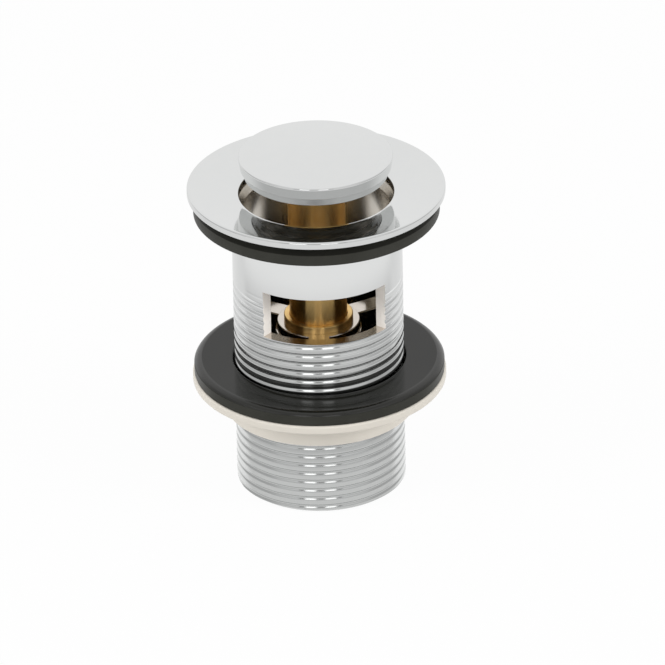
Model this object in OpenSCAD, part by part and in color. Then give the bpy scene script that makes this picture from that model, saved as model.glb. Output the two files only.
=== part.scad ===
// Push-to-close basin waste with overflow windows.
// A flanged tube carries a three-armed spider in its bore. A click cartridge sits in the spider:
// a press on the plug drives two pins down the track of a cam drum, which turns and latches the
// plug shut, and the next press lets the spring lift it. A rubber washer and a flanged nut clamp
// the basin from below. Z is up, and the origin is the centre of the tube's lower end.

/* [Waste body] */
// Height from the tube's lower end to the top of the flange rim
body_h = 80; // [74:1:110]
// Diameter of the flange that lies in the basin
flange_d = 63; // [58:0.5:75]
// Thickness of the flange at its rim
flange_t = 2; // [1.6:0.1:3]
// Radius of the rounded top edge of the rim
rim_round = 1; // [0.4:0.1:1.4]
// Depth of the dish from the rim to the edge of the plug hole
dish_depth = 2.4; // [1:0.1:3.5]
// Outside diameter of the threaded tube, over the thread crests
tube_d = 41.6; // [39:0.1:46]
// Wall of the tube beside the chamber
tube_wall = 2.9; // [2.4:0.1:3.6]
// How much wider in radius the outlet bore is than the chamber
outlet_relief = 0.6; // [0.5:0.1:1.2]
// Depth of the outlet bore from the tube's lower end
outlet_depth = 18; // [8:1:19]
// Step in radius from the chamber to the plug hole
seat_step = 1.1; // [0.9:0.1:1.6]
// Height of the sloped seat under the plug hole
seat_h = 2; // [1.2:0.1:3]
// Radial size of the lead-in chamfer at the tube's lower end
end_chamfer = 1.1; // [0.6:0.1:1.4]
// Height of the lead-in chamfer at the tube's lower end
end_chamfer_h = 1.5; // [0.8:0.1:2.5]

/* [Overflow windows] */
// Distance from the flange rim down to the top of the windows
window_drop = 21.3; // [16:0.1:26]
// Height of each window
window_h = 12.2; // [8:0.1:16]
// Angle that each window spans
window_span = 92; // [60:1:110]
// Turn of the windows about the axis, from the front
window_turn = 5.7; // [-15:0.1:15]

/* [Spider] */
// Distance from the window sill down to the top of the spider
spider_drop = 3.5; // [1:0.1:6]
// Height of the spider's hub
hub_h = 6; // [5:0.1:8]
// Wall of the hub around the cartridge
hub_wall = 2; // [1.5:0.1:3]
// How far the lower hub stands out from its spot-faced top
hub_step = 0.45; // [0.2:0.05:1]
// Height of the spot-faced top of the hub
hub_face_h = 2.4; // [1:0.1:3.5]
// Width of each arm
arm_w = 5.4; // [3:0.1:7]
// Height of each arm
arm_h = 5; // [3:0.1:5]
// Number of arms
arm_count = 3; // [2:1:5]

/* [Plug] */
// Height of the plug's lip over the edge of the hole when the plug is open
open_gap = 5.2; // [4.6:0.1:9]
// How far the plug travels from open to fully pressed
press_travel = 8.4; // [6:0.1:9]
// Height of the plug's rim
cap_rim_h = 2.9; // [2:0.1:4]
// Height of the narrower lip under the rim
cap_lip_h = 2.1; // [1.4:0.1:3]
// Rise of the domed top over the rim
cap_crown = 0.9; // [0.3:0.1:2]
// Radius of the plug's top edge
cap_round = 0.5; // [0.2:0.1:1]
// Depth of the hollow under the plug
cap_hollow_h = 3.5; // [2.6:0.1:4]
// Wall between the hollow and the lip's side
cap_lip_wall = 3; // [1.4:0.1:4]
// How far the boss reaches below the lip
boss_drop = 1.2; // [0.6:0.1:2]
// Diameter of the boss
boss_d = 11; // [9.5:0.1:12.5]
// Height of the rubber seal inside the plug's hollow
cap_seal_h = 1.8; // [1:0.1:2.4]
// How far the seal's edge stands out below the lip
cap_seal_edge = 0.2; // [0.15:0.05:0.5]
// Wall of the seal's sleeve around the top of the plunger
seal_sleeve_w = 2.4; // [1.5:0.1:4]
// How far the sleeve grips the plunger
seal_grip = 1.2; // [0.8:0.1:2]
// Diameter of the stud that joins the plug and the plunger
stud_d = 6; // [5:0.1:7]
// Depth of the stud in the plunger
stud_depth = 5; // [3:0.1:5.5]
// Height of the stud above the plunger
stud_rise = 5; // [3:0.1:5.2]
// Thickness of the washer under the boss
stud_washer_t = 0.6; // [0.4:0.1:1]

/* [Cartridge] */
// Outside diameter of the plunger
plunger_d = 14.1; // [13:0.1:15.5]
// Wall of the plunger
plunger_wall = 1.45; // [1.2:0.05:1.8]
// Thickness of the plunger's closed top
plunger_top_t = 7; // [6:0.1:9]
// Wall of the barrel
barrel_wall = 1; // [0.8:0.05:1.5]
// How far the collar stands out from the barrel's shank
collar_step = 0.36; // [0.25:0.01:0.8]
// Height of the collar over the spider
collar_h = 1.7; // [1:0.1:3]
// Depth of the follower pins below the spider's top at rest
pin_drop = 4.6; // [3:0.1:7]
// Diameter of the follower pins
pin_d = 1.6; // [1.2:0.1:1.8]
// Distance from the pins down to the plunger's lower end
pin_margin = 3.4; // [2.8:0.1:5]
// Width of the rubber ring in the plunger's groove
ring_w = 1; // [0.8:0.1:1.2]
// Depth of the groove for the rubber ring
ring_depth = 0.7; // [0.4:0.05:0.8]
// Thickness of the plug that closes the barrel
end_t = 3.5; // [2.5:0.1:5]
// Step in radius from the barrel's bore to the thread of its end plug
end_step = 0.3; // [0.2:0.05:0.4]
// Width of the driver slot in the end plug
end_slot_w = 1.6; // [1:0.1:2]
// Depth of the driver slot in the end plug
end_slot_h = 1; // [0.6:0.1:1.4]

/* [Cam and spring] */
// Depth of the track in the cam drum
track_depth = 1.4; // [1.2:0.1:1.8]
// How far the plug rises from fully pressed to latched
latch_rise = 1.4; // [0.8:0.1:2.5]
// Number of click cycles around the drum
cycles = 4; // [2:2:6]
// Height of the drum above the pins at rest
drum_over = 2.8; // [2:0.1:4]
// Diameter of the spindle
spindle_d = 3; // [2.4:0.1:3.6]
// Diameter of the spindle's head
spindle_head_d = 6; // [5:0.1:7]
// Height of the spindle's head
spindle_head_h = 1.2; // [0.8:0.1:2]
// How far the spindle stands up through the spring seat
spindle_over = 2.4; // [1:0.1:5]
// Thickness of the thrust washers
thrust_t = 0.6; // [0.4:0.1:1]
// Thickness of the spindle's clip
clip_t = 0.8; // [0.6:0.1:1]
// Width of the clip's ring
clip_w = 1.8; // [1.2:0.1:2.4]
// Depth of the clip's groove in the spindle
clip_depth = 0.35; // [0.2:0.05:0.5]
// Angle of the clip's mouth
clip_mouth = 80; // [50:5:100]
// Thickness of the spring seat
seat_t = 0.8; // [0.6:0.1:1.2]
// Height of the spring seat's collar
seat_collar_h = 1.2; // [0.6:0.1:2]
// Diameter of the spring's wire
wire_d = 1; // [0.8:0.05:1.2]
// Number of open turns in the spring
spring_turns = 8; // [5:1:10]

/* [Seals and nut] */
// Height of the flange seal at its outer edge
seal_h = 4.9; // [3.5:0.1:7]
// How far the flange rim stands out beyond the seal
seal_inset = 1.45; // [0.6:0.05:4]
// Width of the slope around the top of the seal
seal_slope_w = 1.05; // [0.5:0.05:2]
// Height of the slope around the top of the seal
seal_slope_h = 2.1; // [1:0.1:2.6]
// Radius of the seal's lower edge
seal_round = 0.4; // [0.3:0.1:1]
// Height of the nut's lower end above the tube's end
nut_z = 19.9; // [19:0.1:24]
// Height of the nut's hub
nut_hub_h = 7.2; // [5:0.1:10]
// Wall of the nut's hub at its lower end
nut_wall = 2.5; // [2:0.1:4]
// How much wider in radius the hub is at its top
nut_draft = 0.6; // [0:0.1:1]
// Diameter of the nut's flange
nut_flange_d = 62.2; // [54:0.1:68]
// Thickness of the nut's flange
nut_flange_t = 2.3; // [1.8:0.1:4]
// Radius of the nut's flange edges
nut_round = 0.6; // [0.3:0.1:0.8]
// Height of the lead-in at both ends of the nut's bore
nut_lead = 0.5; // [0.3:0.1:1.5]
// Diameter of the clamp washer
washer_d = 61.4; // [54:0.1:68]
// Thickness of the clamp washer
washer_t = 3.6; // [2.5:0.1:5]
// Radius of the washer's outer top edge
washer_round = 0.8; // [0.4:0.1:1.2]
// Radius of the washer's inner top edge
washer_bore_round = 1.2; // [0.6:0.1:1.6]

/* [Clearances] */
// Radial clearance of a thread or a screwed seat
thread_clear = 0.06; // [0.03:0.01:0.1]
// Radial clearance of the plunger in the barrel, and of the drum on its spindle
slide_clear = 0.06; // [0.03:0.01:0.1]
// Radial clearance of a piece that passes another freely
free_clear = 0.3; // [0.25:0.05:0.5]
// Radial gap between the plug's rim and the hole
plug_clear = 0.28; // [0.2:0.02:0.5]
// Gap between stacked pieces that turn or seat on each other
stack_clear = 0.1; // [0.05:0.01:0.2]
// Radial clearance of a pressed or pushed-in piece
seat_clear = 0.02; // [0.01:0.01:0.05]

/* [Hidden] */
$fn = 96;

chrome = "gainsboro";
brass = "darkgoldenrod";
nickel = "antiquewhite";
steel = "slategray";
rubber = "dimgray";
acetal = "ivory";

// A cut runs past the face that it opens by this much
past = 1;
// Points on a quarter round, and on the plug's dome
round_steps = 5;
dome_steps = 10;

// Radii of the waste body
flange_r = flange_d / 2;
tube_r = tube_d / 2;
chamber_r = tube_r - tube_wall;
outlet_r = chamber_r + outlet_relief;
hole_r = chamber_r + seat_step;

// Radii of the cartridge, from the plunger outwards and then inwards
plunger_r = plunger_d / 2;
barrel_bore_r = plunger_r + slide_clear;
shank_r = barrel_bore_r + barrel_wall;
collar_r = shank_r + collar_step;
hub_bore_r = shank_r + thread_clear;
hub_r = hub_bore_r + hub_wall;
end_bore_r = barrel_bore_r + end_step;
plunger_bore_r = plunger_r - plunger_wall;
drum_r = plunger_bore_r - free_clear;
track_r = drum_r - track_depth;
track_mid_r = drum_r - track_depth / 2;
pin_r = pin_d / 2;
spindle_r = spindle_d / 2;
thrust_r = drum_r - free_clear;
stud_r = stud_d / 2;

// Radii of the plug
cap_r = hole_r - plug_clear;
lip_r = chamber_r - free_clear;
hollow_r = lip_r - cap_lip_wall;
boss_r = boss_d / 2;
sleeve_bore_r = plunger_r + seat_clear;

// Heights of the waste body
hole_z = body_h - dish_depth;
rim_low_z = body_h - flange_t;
under_z = rim_low_z - dish_depth;
window_z1 = body_h - window_drop;
window_z0 = window_z1 - window_h;
spider_z1 = window_z0 - spider_drop;
spider_z0 = spider_z1 - hub_h;

// Heights of the plug at rest, which is open
lip_z = hole_z + open_gap;
rim_z = lip_z + cap_lip_h;
cap_edge_z = rim_z + cap_rim_h;
roof_z = lip_z + cap_hollow_h;
boss_z = lip_z - boss_drop;
plunger_z1 = boss_z - stud_washer_t;
plunger_roof_z = plunger_z1 - plunger_top_t;

// Heights of the seat, which the pressed plug just clears
mouth_z = rim_z - press_travel - free_clear - 4 * stack_clear;
seat_z = mouth_z - seat_h;

// Heights of the cartridge, from the pins downwards and then up the spindle
pin_z = spider_z1 - pin_drop;
plunger_z0 = pin_z - pin_margin;
ring_z = plunger_z0 + (pin_margin - pin_r - ring_w) / 2;
end_z1 = plunger_z0 - press_travel - pin_d / 2 - free_clear;
end_z0 = end_z1 - end_t;
drum_z0 = end_z1 + thrust_t + stack_clear;
drum_z1 = pin_z + drum_over;
upper_thrust_z = drum_z1 + stack_clear;
clip_z = upper_thrust_z + thrust_t + stack_clear / 2;
spring_seat_z = clip_z + clip_t;
spring_z0 = spring_seat_z + seat_t;
spindle_z1 = spring_seat_z + seat_t + spindle_over;

// Track of the drum: open, pressed, latched, pressed, then open again
track_w = pin_d + 2 * (free_clear + stack_clear);
pressed_z = pin_z - press_travel;
cycle_turn = 360 / cycles;
leg_turn = cycle_turn / 4;
track_z = [pin_z, pressed_z, pressed_z + latch_rise, pressed_z];

// The spring fills the space between its seat and the plunger's roof
spring_r = plunger_bore_r - free_clear - stack_clear - wire_d / 2;
spring_z1 = plunger_roof_z - seat_clear;
wire_sides = 6;
turn_steps = 14;
coil_pitch = wire_d * 1.08;

// Heights and radii of the seals and the nut
seal_r = flange_r - seal_inset;
seal_bore_r = tube_r + free_clear;
flange_slope = dish_depth / (flange_r - tube_r);
nut_z1 = nut_z + nut_hub_h;
nut_top_z = nut_z1 + nut_flange_t;
nut_bore_r = tube_r + thread_clear;
nut_hub_r = nut_bore_r + nut_wall;
washer_z1 = nut_top_z + washer_t;
washer_bore_r = tube_r + free_clear;

// Height of the flange's underside at a radius
function under_flange(r) = rim_low_z - flange_slope * (flange_r - r);

// Points of an arc about a centre
function arc(centre, r, from, to, steps = round_steps) =
    [for (i = [0 : steps]) let (a = from + (to - from) * i / steps)
        [centre[0] + r * cos(a), centre[1] + r * sin(a)]];

// Points of a shallow dome, from the axis out to its edge
function dome(edge_r, edge_z, rise) =
    [for (i = [0 : dome_steps - 1]) let (r = edge_r * i / dome_steps)
        [r, edge_z + rise * (1 - pow(r / edge_r, 2))]];

// A ring with a square section
module ring(outer, inner, z, h) {
    difference() {
        translate([0, 0, z]) cylinder(r = outer, h = h);
        translate([0, 0, z - past]) cylinder(r = inner, h = h + 2 * past);
    }
}

// A wedge of space between two radial planes, wide enough to leave any wall here
module sector(span, z, h, reach) {
    translate([0, 0, z])
        linear_extrude(h)
            polygon(concat([[0, 0]], arc([0, 0], reach, -span / 2, span / 2, 4)));
}

// The tube and flange in one turned profile
module body_shell() {
    rotate_extrude()
        polygon(concat(
            [[outlet_r, 0], [tube_r - end_chamfer, 0], [tube_r, end_chamfer_h], [tube_r, under_z],
             [flange_r, rim_low_z]],
            arc([flange_r - rim_round, body_h - rim_round], rim_round, 0, 90),
            [[hole_r, hole_z], [hole_r, mouth_z], [chamber_r, seat_z], [chamber_r, outlet_depth],
             [outlet_r, outlet_depth]]));
}

// The hub and arms that hold the cartridge in the bore
module spider() {
    translate([0, 0, spider_z0]) cylinder(r = hub_r, h = hub_h);
    translate([0, 0, spider_z0]) cylinder(r = hub_r + hub_step, h = hub_h - hub_face_h);
    for (i = [0 : arm_count - 1])
        rotate([0, 0, -90 + 360 * i / arm_count])
            translate([hub_bore_r + hub_wall / 2, -arm_w / 2, spider_z1 - arm_h])
                cube([chamber_r + tube_wall / 3 - hub_bore_r - hub_wall / 2, arm_w, arm_h]);
}

module waste_body() {
    color(chrome)
        difference() {
            union() {
                body_shell();
                spider();
            }
            translate([0, 0, spider_z0 - past]) cylinder(r = hub_bore_r, h = hub_h + 2 * past);
            for (side = [0, 180])
                rotate([0, 0, -90 + window_turn + side])
                    sector(window_span, window_z0, window_h, 2 * tube_r);
        }
}

module flange_seal() {
    low = under_flange(seal_r) - seal_h;
    color(rubber)
        rotate_extrude()
            polygon(concat(
                [[seal_bore_r, under_flange(seal_bore_r)], [seal_bore_r, low]],
                arc([seal_r - seal_round, low + seal_round], seal_round, -90, 0),
                [[seal_r, under_flange(seal_r) - seal_slope_h],
                 [seal_r - seal_slope_w, under_flange(seal_r - seal_slope_w)]]));
}

module clamp_washer() {
    r = washer_d / 2;
    color(rubber)
        rotate_extrude()
            polygon(concat(
                [[washer_bore_r, nut_top_z], [r, nut_top_z]],
                arc([r - washer_round, washer_z1 - washer_round], washer_round, 0, 90),
                arc([washer_bore_r + washer_bore_round, washer_z1 - washer_bore_round],
                    washer_bore_round, 90, 180)));
}

module backnut() {
    r = nut_flange_d / 2;
    color(nickel)
        rotate_extrude()
            polygon(concat(
                [[nut_bore_r, nut_z + nut_lead], [nut_bore_r + nut_lead, nut_z],
                 [nut_hub_r, nut_z], [nut_hub_r + nut_draft, nut_z1]],
                arc([r - nut_round, nut_z1 + nut_round], nut_round, -90, 0),
                arc([r - nut_round, nut_top_z - nut_round], nut_round, 0, 90),
                [[nut_bore_r + nut_lead, nut_top_z], [nut_bore_r, nut_top_z - nut_lead]]));
}

module core_barrel() {
    edge = collar_step / 2;
    collar_z1 = spider_z1 + collar_h;
    color(brass)
        rotate_extrude()
            polygon([[barrel_bore_r, end_z1], [barrel_bore_r, collar_z1], [collar_r - edge, collar_z1],
                     [collar_r, collar_z1 - edge], [collar_r, spider_z1], [shank_r, spider_z1],
                     [shank_r, end_z0], [end_bore_r, end_z0], [end_bore_r, end_z1]]);
}

module end_plug() {
    color(brass)
        difference() {
            translate([0, 0, end_z0]) cylinder(r = end_bore_r - thread_clear, h = end_t);
            translate([0, 0, end_z0 - past]) cylinder(r = spindle_r + seat_clear, h = end_t + 2 * past);
            translate([-end_bore_r, -end_slot_w / 2, end_z0 - past])
                cube([2 * end_bore_r, end_slot_w, end_slot_h + past]);
        }
}

// A shouldered pin with a groove for its clip
module spindle() {
    tip = clip_depth;
    color(steel)
        rotate_extrude()
            polygon([[0, end_z0 - spindle_head_h], [spindle_head_d / 2, end_z0 - spindle_head_h],
                     [spindle_head_d / 2, end_z0], [spindle_r, end_z0], [spindle_r, clip_z],
                     [spindle_r - clip_depth, clip_z], [spindle_r - clip_depth, clip_z + clip_t],
                     [spindle_r, clip_z + clip_t], [spindle_r, spindle_z1 - tip],
                     [spindle_r - tip, spindle_z1], [0, spindle_z1]]);
}

// A thin washer that the drum turns against
module thrust_washer(z) {
    color(acetal) ring(thrust_r, spindle_r + slide_clear, z, thrust_t);
}

module lower_thrust_washer() {
    thrust_washer(end_z1);
}

module upper_thrust_washer() {
    thrust_washer(upper_thrust_z);
}

// One straight leg of the drum's track, between two points given by turn and height
module track_leg(turn0, z0, turn1, z1) {
    run = 2 * track_mid_r * sin((turn1 - turn0) / 2);
    tilt = atan2(run, z1 - z0);
    length = norm([run, z1 - z0]);
    rotate([0, 0, (turn0 + turn1) / 2])
        translate([track_r, 0, (z0 + z1) / 2])
            rotate([-tilt, 0, 0])
                translate([0, -track_w / 2, -length / 2])
                    cube([track_depth + past, track_w, length]);
}

// The round turning point between two legs
module track_turn(turn, z) {
    rotate([0, 0, turn])
        translate([track_r, 0, z])
            rotate([0, 90, 0])
                cylinder(r = track_w / 2 + seat_clear, h = track_depth + past);
}

module cam_drum() {
    color(acetal)
        difference() {
            ring(drum_r, spindle_r + slide_clear, drum_z0, drum_z1 - drum_z0);
            for (i = [0 : cycles - 1], k = [0 : 3]) {
                turn = -i * cycle_turn - k * leg_turn;
                track_turn(turn, track_z[k]);
                track_leg(turn, track_z[k], turn - leg_turn, track_z[(k + 1) % 4]);
            }
        }
}

module drum_clip() {
    inner = spindle_r - clip_depth + seat_clear;
    color(steel)
        difference() {
            ring(inner + clip_w, inner, clip_z, clip_t);
            sector(clip_mouth, clip_z - past, clip_t + 2 * past, 2 * (inner + clip_w));
        }
}

module spring_seat() {
    collar = spring_r - wire_d / 2 - free_clear;
    bore = spindle_r + slide_clear;
    color(steel)
        union() {
            ring(spring_r + wire_d / 2, bore, spring_seat_z, seat_t);
            ring(collar, bore, spring_seat_z, seat_t + seat_collar_h);
        }
}

// Height of the wire's centre after a number of turns: closed end turns and open turns between
function coil_z(t) =
    let (low = spring_z0 + seat_clear + wire_d / 2, high = spring_z1 - wire_d / 2,
         open_pitch = (high - low - 2 * coil_pitch) / spring_turns)
    t < 1 ? low + coil_pitch * t
    : t > 1 + spring_turns ? high - coil_pitch * (2 + spring_turns - t)
    : low + coil_pitch + open_pitch * (t - 1);

module press_spring() {
    count = (spring_turns + 2) * turn_steps;
    points = [for (i = [0 : count], k = [0 : wire_sides - 1])
        let (turn = 360 * i / turn_steps, side = 360 * k / wire_sides,
             r = spring_r - wire_d / 2 * cos(side))
        [r * cos(turn), r * sin(turn), coil_z(i / turn_steps) + wire_d / 2 * sin(side)]];
    sides = [for (i = [0 : count - 1], k = [0 : wire_sides - 1])
        let (a = i * wire_sides, b = a + wire_sides, n = (k + 1) % wire_sides)
        [a + k, a + n, b + n, b + k]];
    first = [for (k = [wire_sides - 1 : -1 : 0]) k];
    last = [for (k = [0 : wire_sides - 1]) count * wire_sides + k];
    color(steel) polyhedron(points, concat([first, last], sides));
}

module plunger() {
    edge = plunger_wall / 3;
    groove_r = plunger_r - ring_depth;
    color(brass)
        difference() {
            rotate_extrude()
                polygon([[plunger_bore_r, plunger_z0], [plunger_r, plunger_z0], [plunger_r, ring_z],
                         [groove_r, ring_z], [groove_r, ring_z + ring_w], [plunger_r, ring_z + ring_w],
                         [plunger_r, plunger_z1 - edge], [plunger_r - edge, plunger_z1],
                         [stud_r + seat_clear, plunger_z1], [stud_r + seat_clear, plunger_z1 - stud_depth],
                         [0, plunger_z1 - stud_depth], [0, plunger_roof_z],
                         [plunger_bore_r, plunger_roof_z]]);
            for (side = [0, 180])
                rotate([0, 0, side])
                    translate([0, 0, pin_z])
                        rotate([0, 90, 0])
                            cylinder(r = pin_r + seat_clear, h = plunger_r + past);
        }
}

module plunger_ring() {
    color(rubber)
        ring(plunger_r - seat_clear, plunger_r - ring_depth + seat_clear, ring_z + seat_clear,
             ring_w - 2 * seat_clear);
}

// A pin from the plunger's wall into the drum's track, at a turn about the axis
module follower_pin(turn) {
    inner = track_r + free_clear;
    color(steel)
        rotate([0, 0, turn])
            translate([inner, 0, pin_z])
                rotate([0, 90, 0])
                    cylinder(r = pin_r, h = plunger_r - seat_clear - inner);
}

module left_follower_pin() {
    follower_pin(180);
}

module right_follower_pin() {
    follower_pin(0);
}

module cap_stud() {
    color(steel)
        translate([0, 0, plunger_z1 - stud_depth + seat_clear])
            cylinder(r = stud_r, h = stud_depth + stud_rise);
}

module stud_washer() {
    color(acetal) ring(boss_r, stud_r + thread_clear, plunger_z1, stud_washer_t);
}

module plug_cap() {
    stud_top = plunger_z1 + stud_rise + stack_clear;
    color(chrome)
        rotate_extrude()
            polygon(concat(
                dome(cap_r - cap_round, cap_edge_z, cap_crown),
                arc([cap_r - cap_round, cap_edge_z - cap_round], cap_round, 90, 0),
                [[cap_r, rim_z], [lip_r, rim_z], [lip_r, lip_z], [hollow_r, lip_z], [hollow_r, roof_z],
                 [boss_r, roof_z], [boss_r, boss_z], [stud_r + seat_clear, boss_z],
                 [stud_r + seat_clear, stud_top], [0, stud_top]]));
}

// A rubber cone that fills the plug's hollow and grips the top of the plunger
module cap_seal() {
    inside = hollow_r - seat_clear;
    boss_bore = boss_r + seat_clear;
    sleeve_r = sleeve_bore_r + seal_sleeve_w;
    sleeve_z = plunger_z1 - seal_grip;
    color(rubber)
        rotate_extrude()
            polygon([[sleeve_bore_r, sleeve_z], [sleeve_r, sleeve_z], [inside, lip_z - cap_seal_edge],
                     [inside, lip_z + cap_seal_h], [boss_bore, lip_z + cap_seal_h],
                     [boss_bore, plunger_z1], [sleeve_bore_r, plunger_z1]]);
}

waste_body();
flange_seal();
clamp_washer();
backnut();
core_barrel();
end_plug();
spindle();
lower_thrust_washer();
cam_drum();
upper_thrust_washer();
drum_clip();
spring_seat();
press_spring();
plunger();
plunger_ring();
left_follower_pin();
right_follower_pin();
cap_stud();
stud_washer();
plug_cap();
cap_seal();
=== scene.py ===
"""A push-to-close basin waste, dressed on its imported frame.

Lengths are in millimetres while a piece is made. A finished mesh is brought to metres.
"""

import math

import bmesh
import bpy
from mathutils import Matrix, Vector


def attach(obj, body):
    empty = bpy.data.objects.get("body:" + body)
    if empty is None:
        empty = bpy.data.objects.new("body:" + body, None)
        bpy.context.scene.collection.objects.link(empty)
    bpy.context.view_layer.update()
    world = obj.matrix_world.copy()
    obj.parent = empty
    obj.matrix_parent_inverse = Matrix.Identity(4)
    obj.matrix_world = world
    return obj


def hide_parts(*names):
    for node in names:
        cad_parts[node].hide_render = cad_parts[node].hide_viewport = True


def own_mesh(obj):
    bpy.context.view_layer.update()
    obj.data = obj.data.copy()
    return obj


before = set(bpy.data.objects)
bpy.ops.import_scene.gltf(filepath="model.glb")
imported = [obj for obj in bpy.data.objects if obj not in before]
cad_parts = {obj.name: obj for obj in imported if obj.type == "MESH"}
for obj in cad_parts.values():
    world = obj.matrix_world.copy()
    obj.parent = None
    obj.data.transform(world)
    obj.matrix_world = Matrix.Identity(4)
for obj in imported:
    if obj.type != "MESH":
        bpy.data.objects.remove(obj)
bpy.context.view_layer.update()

MM = 0.001

# The photograph's frame and the view in it, in its own pixels
PHOTO_PX = 665
FOCAL_PX = 10204.4
VIEW_DISTANCE = 2500.0
VIEW_ELEVATION = math.radians(27.725)
VIEW_ROLL = math.radians(1.0806)
AIM_RIGHT_PX = -13.597
AIM_UP_PX = 3.751
AIM_HEIGHT = 40.0
SENSOR_MM = 36.0

# Waste body
TUBE_R = 20.8
CHAMBER_R = 17.9
OUTLET_R = 18.5
OUTLET_DEPTH = 18.0
HOLE_R = 19.0
HOLE_Z = 77.8
MOUTH_Z = 75.8
MOUTH_SEAM = 0.6
SEAT_Z = 73.8
FLANGE_R = 31.5
DISH_STEP_R = 20.5
DISH_END_R = 30.6
DISH_SLOPES = (0.25, 0.14, 0.165)
FLANGE_LOW = 78.0
FLANGE_ROOT = 75.6
END_CHAMFER = 1.1
END_CHAMFER_H = 0.8
WINDOW_LOW = 46.5
WINDOW_HIGH = 58.7
WINDOW_SPAN = math.radians(92.0)
WINDOW_TURN = math.radians(5.7)
WINDOW_STEPS = 8
WINDOW_NEAR_R = 1.0
WINDOW_FAR_R = 2 * TUBE_R
HUB_LOW = 37.0
HUB_TOP = 43.0
HUB_FACE = 40.6
HUB_BORE_R = 8.17
HUB_R = 10.17
HUB_FOOT_R = 10.62
ARM_W = 5.4
ARM_LOW = 38.0
ARM_TOP = HUB_TOP - 0.02
ARM_ROOT = HUB_BORE_R + 1.0
ARM_REACH = CHAMBER_R + 1.0

# Plug
CAP_R = 18.9
CAP_EDGE = 87.9
CAP_CROWN = 0.9
CAP_ROUND = 0.5
CAP_RIM = 84.9
CAP_DRAFT = 0.4
LIP_R = 17.6
LIP_SEAM_R = LIP_R + 0.3
LIP_Z = 82.8
HOLLOW_R = 14.6
HOLLOW_Z = 86.3
BOSS_R = 5.5
BOSS_Z = 81.6
CAP_SEAL_EDGE = 0.2
CAP_SEAL_TOP = 84.6
SEAL_RIDGES = (0.36, 0.78)
RIDGE_HALF_SHARE = 0.11
RIDGE_H = 0.35
SLEEVE_R = 9.47
SLEEVE_LOW = 79.8
STUD_R = 3.0
STUD_LOW = 76.02
STUD_TOP = 86.0
STUD_ENDS = 0.5
STUD_NECK = 0.35
STUD_TURNS = 9
STUD_ROOM = 0.1
DOME_STEPS = 20
DISH_STEPS = 12

# Cartridge
PLUNGER_R = 7.05
PLUNGER_BORE_R = 5.6
PLUNGER_TOP = 81.0
PLUNGER_ROOF = 74.0
PLUNGER_LOW = 35.0
PLUNGER_CHAMFER = 0.45
RING_DEPTH = 0.7
RING_W = 1.0
RING_Z = 35.8
PIN_R = 0.8
PIN_Z = 38.4
BARREL_BORE_R = 7.11
SHANK_R = 8.11
COLLAR_R = 8.47
COLLAR_TOP = 44.7
COLLAR_CHAMFER = 0.18
BARREL_NECK = 0.3
BARREL_LEAD = 0.5
BARREL_TURNS = 20
END_BORE_R = 7.41
END_LOW = 22.0
END_TOP = 25.5
SLOT_W = 1.6
SLOT_H = 1.0
SPINDLE_R = 1.5
SPINDLE_TOP = 45.95
SPINDLE_NECK = 0.35
HEAD_R = 3.0
HEAD_LOW = 20.8
CLIP_Z = 41.95
CLIP_T = 0.8
SPRING_R = 4.7
WIRE_D = 1.0
SPRING_LOW = 43.57
SPRING_HIGH = 73.98
SPRING_TURNS = 8
CLOSED_PITCH = 1.08
PUSH_FIT = 0.02
LOOSE_FIT = 0.06

# Seals and nut. The rubber's finish changes under a ring, a little way in from its side: from there out it is
# a lighter copy of the rubber, which is painted light.
FINISH_SEAM = 1.0
SEAL_R = 30.05
SEAL_BORE_R = 21.1
SEAL_LOW = 72.775
SEAL_SLOPE_W = 1.05
SEAL_SLOPE_H = 2.1
WASHER_R = 30.7
WASHER_TOP = 33.0
PARTING = 31.95
PARTING_H = 0.14
PARTING_DEPTH = 0.2
SHOULDER = 2.0
SHOULDER_INSET = 0.1
SHOULDER_START = math.radians(29.0)
SHOULDER_STEPS = 10
NUT_LOW = 19.9
NUT_HUB_TOP = 27.1
NUT_TOP = 29.4
NUT_BORE_R = 20.86
NUT_HUB_R = 23.36
NUT_FLANGE_R = 31.1
NUT_LEAD = 0.5
NUT_HUB_DRAFT = 0.6
NUT_THREAD_LOW = NUT_LOW + 0.8
NUT_THREAD_TURNS = 3
NUT_THREAD_DEPTH = 0.9

# Threads: the tube's is a pipe thread of eleven turns to the inch, with broad crests
PIPE_PITCH = 2.309
PIPE_DEPTH = 0.34
PIPE_CREST = 0.40
PIPE_TURNS = 25
PIPE_RUN_OUT = 4.5
PIPE_START = 0.46
PIPE_GROOVE_IN = 0.6
PIPE_ROWS = 14
NUT_ROWS = 12
FINE_PITCH = 1.0
FINE_DEPTH = 0.45
FINE_ROWS = 8
THREAD_END = 0.5

# Turning: segments around large and small pieces, steps on a rounded edge, and the angle of a sharp one
LARGE_STEPS = 192
SMALL_STEPS = 96
ROUND_STEPS = 6
ON_AXIS = 1e-6
CREASE = math.radians(38.0)


class Wire:
    """A socket in a node tree. Arithmetic on it adds Math nodes to that tree."""

    def __init__(self, graph, socket):
        self.graph = graph
        self.socket = socket

    def math(self, operation, *others):
        return self.graph.add("ShaderNodeMath", {"operation": operation}, (self, *others))

    def __add__(self, other):
        return self.math("ADD", other)

    def __radd__(self, other):
        return self.math("ADD", other)

    def __sub__(self, other):
        return self.math("SUBTRACT", other)

    def __rsub__(self, other):
        return self.graph.add("ShaderNodeMath", {"operation": "SUBTRACT"}, (other, self))

    def __mul__(self, other):
        return self.math("MULTIPLY", other)

    def __rmul__(self, other):
        return self.math("MULTIPLY", other)

    def __truediv__(self, other):
        return self.math("DIVIDE", other)

    def smooth(self, start, end, low=0.0, high=1.0):
        """Rises smoothly from low to high as the value goes from start to end."""
        return self.graph.add(
            "ShaderNodeMapRange",
            {"interpolation_type": "SMOOTHSTEP"},
            {"Value": self, "From Min": start, "From Max": end, "To Min": low, "To Max": high},
        )


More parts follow.
